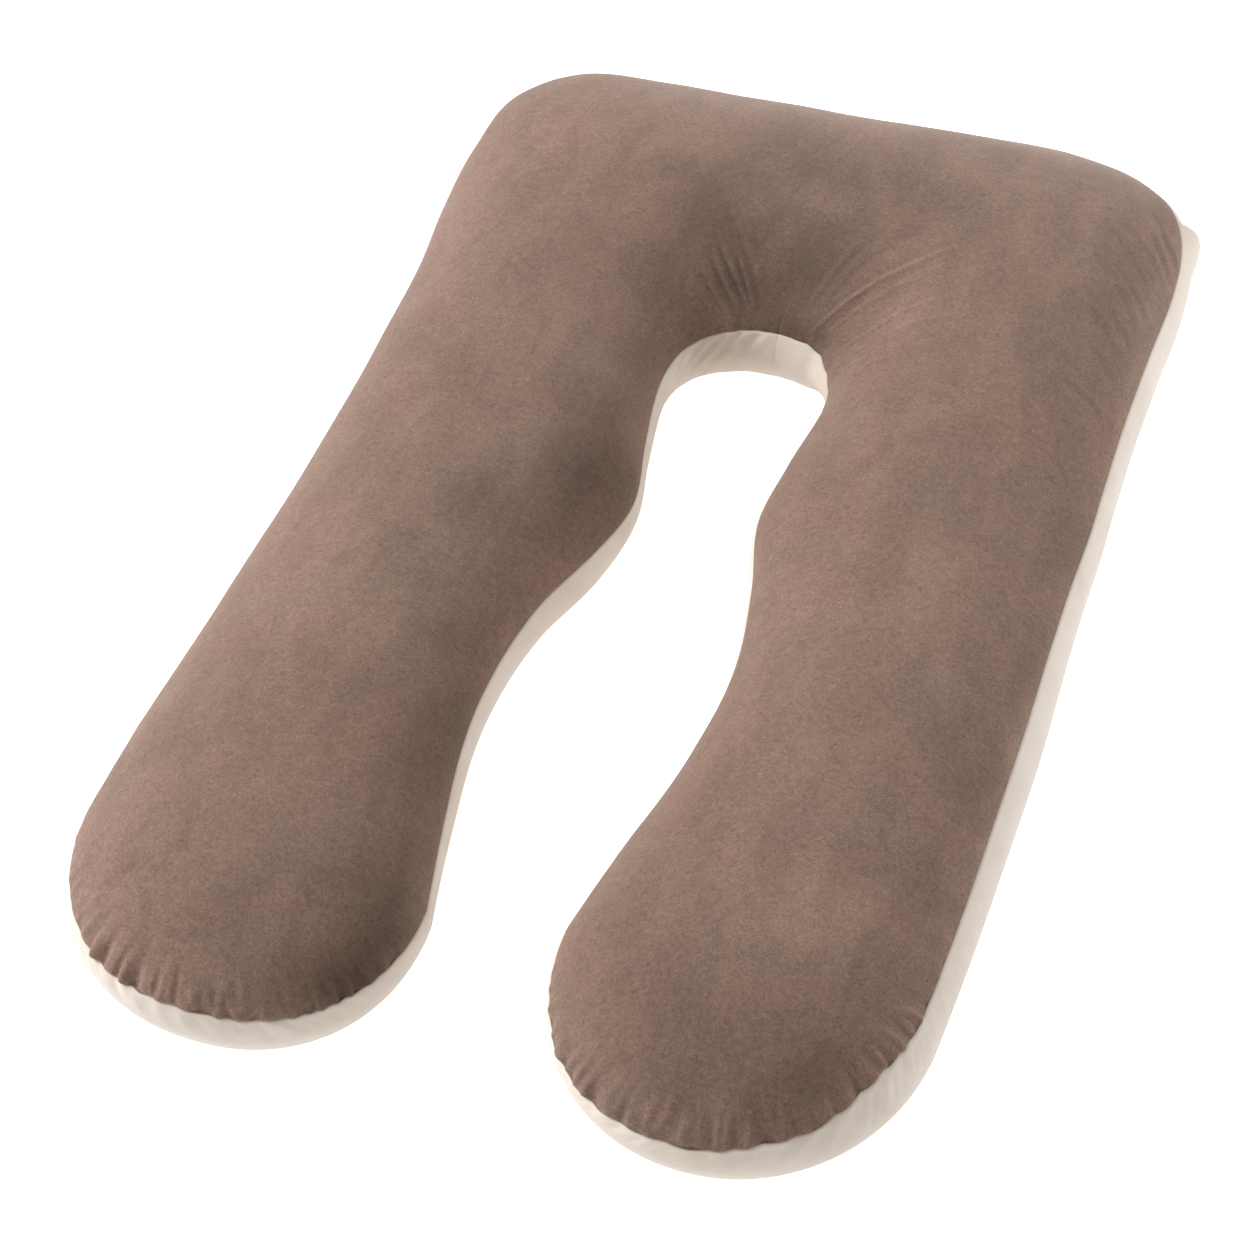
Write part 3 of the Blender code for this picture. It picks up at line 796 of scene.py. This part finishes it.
def jersey_relief(half, grid, drop):
    """Slack folds in the cream side wall, slanted, and strongest round the leg ends and the neck."""
    slanted = np.stack(
        [half.arc + WALL_SLANT * drop, grid[..., 2] * 0.3, np.full(drop.shape, half.side * 1.7)],
        axis=-1,
    )
    wide, narrow = WALL_FOLD_WIDTHS
    folds = soft_noise(slanted, wide, 5) + 0.5 * soft_noise(slanted, narrow, 6)
    lumps = soft_noise(grid, WALL_LUMP_SIZE, 7)
    depth = WALL_DEPTH + WALL_DEPTH_AT_END * between(half.place, *WALL_PLACES)
    relief = (depth * folds + WALL_LUMP_DEPTH * lumps) * between(drop, *WALL_LEVELS)
    if half.side < 0:
        on_wall = between(drop, *NECK_LEVELS)
        for at, slant, width, dip in NECK_WALL_FOLDS:
            away = (half.arc - at - slant * drop) / (width * (1 + drop))
            swell = NECK_SWELL * np.exp(-((away + NECK_SWELL_AT) ** 2))
            relief += dip * (swell - np.exp(-(away**2))) * on_wall
    return relief + seam_groove(grid, JERSEY_GROOVE)


def closed_shell(name, half, grid, core_z, upper):
    """A closed mesh from rings of points, whose last ring lies on the middle line, and a mating face
    inside that runs back to the first ring, with a flat face at the centre of the head."""
    rings, count = grid.shape[0] - 1, grid.shape[1]
    spine = len(half.middle)
    back = np.zeros(spine, int)
    back[half.partner] = np.arange(count)
    ridge = 0.5 * (grid[-1, :spine] + grid[-1, back])
    ridge[0, 0] = half.middle[0, 0]
    mate = np.column_stack([half.middle, np.full(spine, core_z)])
    points = np.vstack([grid[:-1].reshape(-1, 3), ridge, mate])
    ridge_at = rings * count
    mate_at = ridge_at + spine
    faces = []

    def strip(low, high):
        for a, b, c, d in zip(low[:-1], low[1:], high[1:], high[:-1]):
            faces.append((a, b, c, d) if c != d else (a, b, c))

    for k in range(rings - 1):
        low = list(range(k * count, (k + 1) * count))
        strip(low, [i + count for i in low])
    last = list(range((rings - 1) * count, rings * count))
    strip(last, (ridge_at + half.partner).tolist())
    strip((mate_at + half.partner).tolist(), list(range(count)))
    inner_end = [k * count for k in range(rings)]
    outer_end = [k * count + count - 1 for k in range(rings)]
    faces.append(tuple(inner_end + [ridge_at] + outer_end[::-1] + [mate_at]))
    if (half.side > 0) != upper:
        faces = [face[::-1] for face in faces]
    mesh = bpy.data.meshes.new(name)
    mesh.from_pydata(points.tolist(), [], faces)
    mesh.validate()
    mesh.shade_smooth()
    mesh.set_sharp_from_angle(angle=math.radians(SHARP_DEGREES))
    panel = bpy.data.objects.new(name, mesh)
    bpy.context.scene.collection.objects.link(panel)
    return panel


def dress(panel, node, material):
    """Finish a panel and let it stand for its plain one."""
    panel.data.materials.append(material)
    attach(panel, "root")
    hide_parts(node)


def give(tree, socket, value):
    """Link a value to a socket, or set it there."""
    if isinstance(value, bpy.types.NodeSocket):
        tree.links.new(value, socket)
    else:
        socket.default_value = value


class Cloth:
    """A procedural cloth finish under construction."""

    def __init__(self, name):
        self.material = bpy.data.materials.new(name)
        self.material.use_nodes = True
        self.tree = self.material.node_tree
        self.shader = self.tree.nodes["Principled BSDF"]
        self.place = self.tree.nodes.new("ShaderNodeTexCoord").outputs["Object"]

    def node(self, kind, **inputs):
        """A new node. Each keyword is the name of an input, with _ for a space."""
        made = self.tree.nodes.new(kind)
        for name, value in inputs.items():
            give(self.tree, made.inputs[name.replace("_", " ")], value)
        return made

    def stretched(self, scale, turn):
        turned = (0.0, 0.0, turn)
        node = self.node("ShaderNodeMapping", Vector=self.place, Scale=scale, Rotation=turned)
        return node.outputs["Vector"]

    def noise(self, scale, detail, roughness, distortion=0.0, place=None):
        node = self.node(
            "ShaderNodeTexNoise", Vector=place or self.place, Scale=scale, Detail=detail,
            Roughness=roughness, Distortion=distortion,
        )
        return node.outputs["Fac"]

    def levels(self, value, low, high, to_low=0.0, to_high=1.0):
        node = self.node(
            "ShaderNodeMapRange", Value=value, From_Min=low, From_Max=high, To_Min=to_low,
            To_Max=to_high,
        )
        node.interpolation_type = "SMOOTHSTEP"
        return node.outputs["Result"]

    def mixed(self, factor, first, second, blend="MIX"):
        node = self.tree.nodes.new("ShaderNodeMix")
        node.data_type = "RGBA"
        node.blend_type = blend
        sockets = {socket.identifier: socket for socket in (*node.inputs, *node.outputs)}
        for name, value in (("Factor_Float", factor), ("A_Color", first), ("B_Color", second)):
            give(self.tree, sockets[name], value)
        return sockets["Result_Color"]

    def spots(self, rows):
        """Sum of soft spots, each the strength of its row in the middle and nothing at its edge."""
        total = None
        for x, y, along, across, turn, strength in rows:
            inside = self.node(
                "ShaderNodeMapping", Vector=self.place, Location=(x, y, 0.0),
                Rotation=(0.0, 0.0, math.radians(turn)), Scale=(along, across, SPOT_HEIGHT),
            )
            inside.vector_type = "TEXTURE"
            ball = self.node("ShaderNodeTexGradient", Vector=inside.outputs["Vector"])
            ball.gradient_type = "SPHERICAL"
            spot = self.levels(ball.outputs["Fac"], 0.0, 1.0, 0.0, strength)
            total = spot if total is None else self.added(total, spot)
        return total

    def added(self, first, second):
        node = self.tree.nodes.new("ShaderNodeMath")
        for socket, value in zip(node.inputs, (first, second)):
            give(self.tree, socket, value)
        return node.outputs["Value"]

    def toned(self, colour, tone):
        """A colour made darker or lighter by a tone round 1."""
        grey = self.node("ShaderNodeCombineColor", Red=tone, Green=tone, Blue=tone)
        return self.mixed(1.0, colour, grey.outputs["Color"], "MULTIPLY")

    def bump(self, height, strength, distance, under=None):
        node = self.node("ShaderNodeBump", Height=height, Strength=strength, Distance=distance)
        if under is not None:
            self.tree.links.new(under, node.inputs["Normal"])
        return node.outputs["Normal"]

    def finish(self, colour, normal, roughness, sheen, sheen_tint, specular):
        self.tree.links.new(colour, self.shader.inputs["Base Color"])
        self.tree.links.new(normal, self.shader.inputs["Normal"])
        self.shader.inputs["Roughness"].default_value = roughness
        self.shader.inputs["Sheen Weight"].default_value = sheen
        self.shader.inputs["Sheen Roughness"].default_value = 0.45
        self.shader.inputs["Sheen Tint"].default_value = (*sheen_tint, 1.0)
        self.shader.inputs["Specular IOR Level"].default_value = specular
        return self.material


def velour_cloth(cloths):
    """Short brushed pile: broad patches where it lies either way, a fine wormy grain, and spots of pile
    tone that are partly painted shade and painted light.
    """
    cloth = Cloth("velour")
    patches = cloth.noise(scale=8.0, detail=4.0, roughness=0.6, distortion=0.6)
    brush_lie = cloth.stretched((1.0, 0.45, 1.0), turn=0.5)
    brushed = cloth.noise(scale=22.0, detail=3.0, roughness=0.55, distortion=0.5, place=brush_lie)
    grain = cloth.noise(scale=330.0, detail=4.0, roughness=0.75, distortion=1.6)
    flecks = cloth.noise(scale=120.0, detail=3.0, roughness=0.6, distortion=0.8)
    nap = cloth.noise(scale=70.0, detail=3.0, roughness=0.6)
    warm, cool = (*cloths.velour_warm, 1.0), (*cloths.velour_cool, 1.0)
    colour = cloth.mixed(cloth.levels(patches, 0.38, 0.62), warm, cool)
    for tone in (
        cloth.levels(cloth.levels(brushed, 0.3, 0.7), 0.0, 1.0, 0.93, 1.07),
        cloth.levels(grain, 0.3, 0.7, 0.70, 1.30),
        cloth.levels(flecks, 0.3, 0.7, 0.93, 1.07),
        # spots of pile tone, partly painted shade and painted light
        cloth.added(cloth.spots(PILE_AND_PAINTED_SHADING_SPOTS), 1.0),
    ):
        colour = cloth.toned(colour, tone)
    soft = cloth.bump(nap, strength=0.25, distance=0.002)
    normal = cloth.bump(grain, strength=0.5, distance=0.0008, under=soft)
    return cloth.finish(
        colour, normal, roughness=0.95, sheen=cloths.velour_sheen, sheen_tint=(0.9, 0.8, 0.74),
        specular=0.15,
    )


def jersey_cloth(cloths):
    """Fine smooth knit, a little uneven in tone, with painted shade and painted brown bounce light in
    spots.
    """
    cloth = Cloth("jersey")
    patches = cloth.noise(scale=14.0, detail=3.0, roughness=0.5, distortion=0.3)
    knit = cloth.noise(scale=900.0, detail=2.0, roughness=0.5, distortion=0.2)
    slack = cloth.noise(scale=120.0, detail=2.0, roughness=0.5)
    light, dark = (*cloths.jersey_light, 1.0), (*cloths.jersey_dark, 1.0)
    colour = cloth.mixed(cloth.levels(patches, 0.35, 0.65), light, dark)
    colour = cloth.toned(colour, cloth.levels(knit, 0.3, 0.7, 0.98, 1.02))
    # painted shade and painted brown bounce light in spots at the neck and the cream corner
    colour = cloth.mixed(cloth.spots(PAINTED_SHADE_AND_BOUNCE_SPOTS), colour, (*cloths.jersey_painted_shade_and_bounce, 1.0))
    soft = cloth.bump(slack, strength=0.08, distance=0.001)
    normal = cloth.bump(knit, strength=0.12, distance=0.0003, under=soft)
    return cloth.finish(
        colour, normal, roughness=0.8, sheen=0.12, sheen_tint=(1.0, 0.97, 0.93), specular=0.2
    )


class PILLOW_OT_studio(bpy.types.Operator):
    """Set up the camera, the soft light and the pale floor"""

    bl_idname = "pillow.studio"
    bl_label = "Set Up Studio"

    def execute(self, context):
        studio = context.scene.pillow_studio
        camera = bpy.data.objects.new("camera", bpy.data.cameras.new("camera"))
        context.scene.collection.objects.link(camera)
        context.scene.camera = camera
        camera.data.lens = studio.lens
        camera.data.sensor_width = 36.0
        camera.data.sensor_fit = "HORIZONTAL"
        camera.data.dof.use_dof = False
        camera.data.clip_end = 50.0
        look = Vector(studio.camera_aim) - Vector(studio.camera_place)
        camera.location = studio.camera_place
        camera.rotation_euler = look.to_track_quat("-Z", "Y").to_euler()
        context.scene.view_settings.view_transform = "Standard"
        self.add_floor(context, studio)
        self.add_light(context, "key", studio.key_place, KEY_SIZE, studio.key_power)
        self.add_light(context, "fill", studio.fill_place, FILL_SIZE, studio.fill_power)
        self.add_room(context, studio)
        return {"FINISHED"}

    def seen_and_given(self, tree, seen, given):
        """A strength that the camera sees, and another that lights the pillow."""
        camera_ray = tree.nodes.new("ShaderNodeLightPath").outputs["Is Camera Ray"]
        strength = tree.nodes.new("ShaderNodeMapRange")
        strength.inputs["To Min"].default_value = given
        strength.inputs["To Max"].default_value = seen
        tree.links.new(camera_ray, strength.inputs["Value"])
        return strength.outputs["Result"]

    def add_room(self, context, studio):
        world = bpy.data.worlds.new("room")
        world.use_nodes = True
        tree = world.node_tree
        background = tree.nodes["Background"]
        background.inputs["Color"].default_value = (*studio.sky_colour, 1.0)
        lit = self.seen_and_given(tree, studio.wall_glow, studio.sky)
        tree.links.new(lit, background.inputs["Strength"])
        context.scene.world = world

    def add_floor(self, context, studio):
        mesh = bpy.data.meshes.new("floor")
        square = ((-1, -1), (1, -1), (1, 1), (-1, 1))
        corners = [(x * FLOOR_REACH, y * FLOOR_REACH, FLOOR_Z) for x, y in square]
        mesh.from_pydata(corners, [], [(0, 1, 2, 3)])
        floor = bpy.data.objects.new("floor", mesh)
        material = bpy.data.materials.new("floor")
        material.use_nodes = True
        shader = material.node_tree.nodes["Principled BSDF"]
        shader.inputs["Base Color"].default_value = (*studio.floor_colour, 1.0)
        shader.inputs["Roughness"].default_value = 1.0
        shader.inputs["Specular IOR Level"].default_value = 0.0
        shader.inputs["Emission Color"].default_value = (1.0, 1.0, 1.0, 1.0)
        glow = self.seen_and_given(material.node_tree, studio.floor_glow, studio.floor_bounce)
        material.node_tree.links.new(glow, shader.inputs["Emission Strength"])
        mesh.materials.append(material)
        context.scene.collection.objects.link(floor)

    def add_light(self, context, name, place, size, power):
        data = bpy.data.lights.new(name, "AREA")
        data.shape = "DISK"
        data.size = size
        data.energy = power
        light = bpy.data.objects.new(name, data)
        light.location = place
        light.rotation_euler = (-Vector(place)).to_track_quat("-Z", "Y").to_euler()
        context.scene.collection.objects.link(light)


class PILLOW_OT_velour_panels(bpy.types.Operator):
    """Add the two brown velour panels of the top"""

    bl_idname = "pillow.velour_panels"
    bl_label = "Add Velour Panels"

    def execute(self, context):
        sizes, cloths = context.scene.pillow_sizes, context.scene.pillow_cloths
        material = velour_cloth(cloths)
        for side, word in ((-1, "left"), (1, "right")):
            half = Half(side, sizes)
            grid, climb = half.upper_grid()
            normals = grid_normals(grid, side)
            normals[-1] = (0.0, 0.0, 1.0)
            grid = grid + normals * velour_relief(half, grid, climb)[..., None]
            grid[:, [0, -1], 0] = SEAM_X + side * SEAM_GAP / 2
            grid[0, :, 2] += SEAM_GAP / 2
            panel = closed_shell(f"velour_top_{word}", half, grid, SEAM_CORE_Z + SEAM_GAP, True)
            dress(panel, f"velour_{word}", material)
        return {"FINISHED"}


class PILLOW_OT_jersey_panels(bpy.types.Operator):
    """Add the two cream jersey panels of the underside and the side wall"""

    bl_idname = "pillow.jersey_panels"
    bl_label = "Add Jersey Panels"

    def execute(self, context):
        sizes, cloths = context.scene.pillow_sizes, context.scene.pillow_cloths
        material = jersey_cloth(cloths)
        for side, word in ((-1, "left"), (1, "right")):
            half = Half(side, sizes)
            grid, drop = half.lower_grid()
            normals = grid_normals(grid, -side)
            grid = grid + normals * jersey_relief(half, grid, drop)[..., None]
            ridge = np.column_stack([half.target, np.zeros(len(half.target))])
            grid = np.concatenate([grid, ridge[None]])
            grid[..., 2] = np.maximum(grid[..., 2], 0.0)
            grid[:, [0, -1], 0] = SEAM_X + side * SEAM_GAP / 2
            grid[0, :, 2] -= SEAM_GAP / 2
            panel = closed_shell(f"jersey_base_{word}", half, grid, SEAM_CORE_Z - SEAM_GAP, False)
            dress(panel, f"jersey_{word}", material)
        return {"FINISHED"}


class VIEW3D_PT_pillow(bpy.types.Panel):
    """The pillow's sizes, cloths, studio and pieces"""

    bl_label = "Pregnancy Pillow"
    bl_space_type = "VIEW_3D"
    bl_region_type = "UI"
    bl_category = "Pillow"

    def draw(self, context):
        scene = context.scene
        for group in (scene.pillow_sizes, scene.pillow_cloths, scene.pillow_studio):
            box = self.layout.box()
            for name in group.bl_rna.properties.keys():
                if name not in ("rna_type", "name"):
                    box.prop(group, name)
        for operator in OPERATORS:
            self.layout.operator(operator.bl_idname)


GROUPS = (PillowSizes, PillowCloths, PillowStudio)
OPERATORS = (PILLOW_OT_studio, PILLOW_OT_velour_panels, PILLOW_OT_jersey_panels)


def register():
    for cls in (*GROUPS, *OPERATORS, VIEW3D_PT_pillow):
        bpy.utils.register_class(cls)
    bpy.types.Scene.pillow_sizes = PointerProperty(type=PillowSizes)
    bpy.types.Scene.pillow_cloths = PointerProperty(type=PillowCloths)
    bpy.types.Scene.pillow_studio = PointerProperty(type=PillowStudio)


def unregister():
    del bpy.types.Scene.pillow_studio
    del bpy.types.Scene.pillow_cloths
    del bpy.types.Scene.pillow_sizes
    for cls in reversed((*GROUPS, *OPERATORS, VIEW3D_PT_pillow)):
        bpy.utils.unregister_class(cls)


def main():
    register()
    bpy.ops.pillow.studio()
    bpy.ops.pillow.velour_panels()
    bpy.ops.pillow.jersey_panels()


if __name__ == "__main__":
    main()
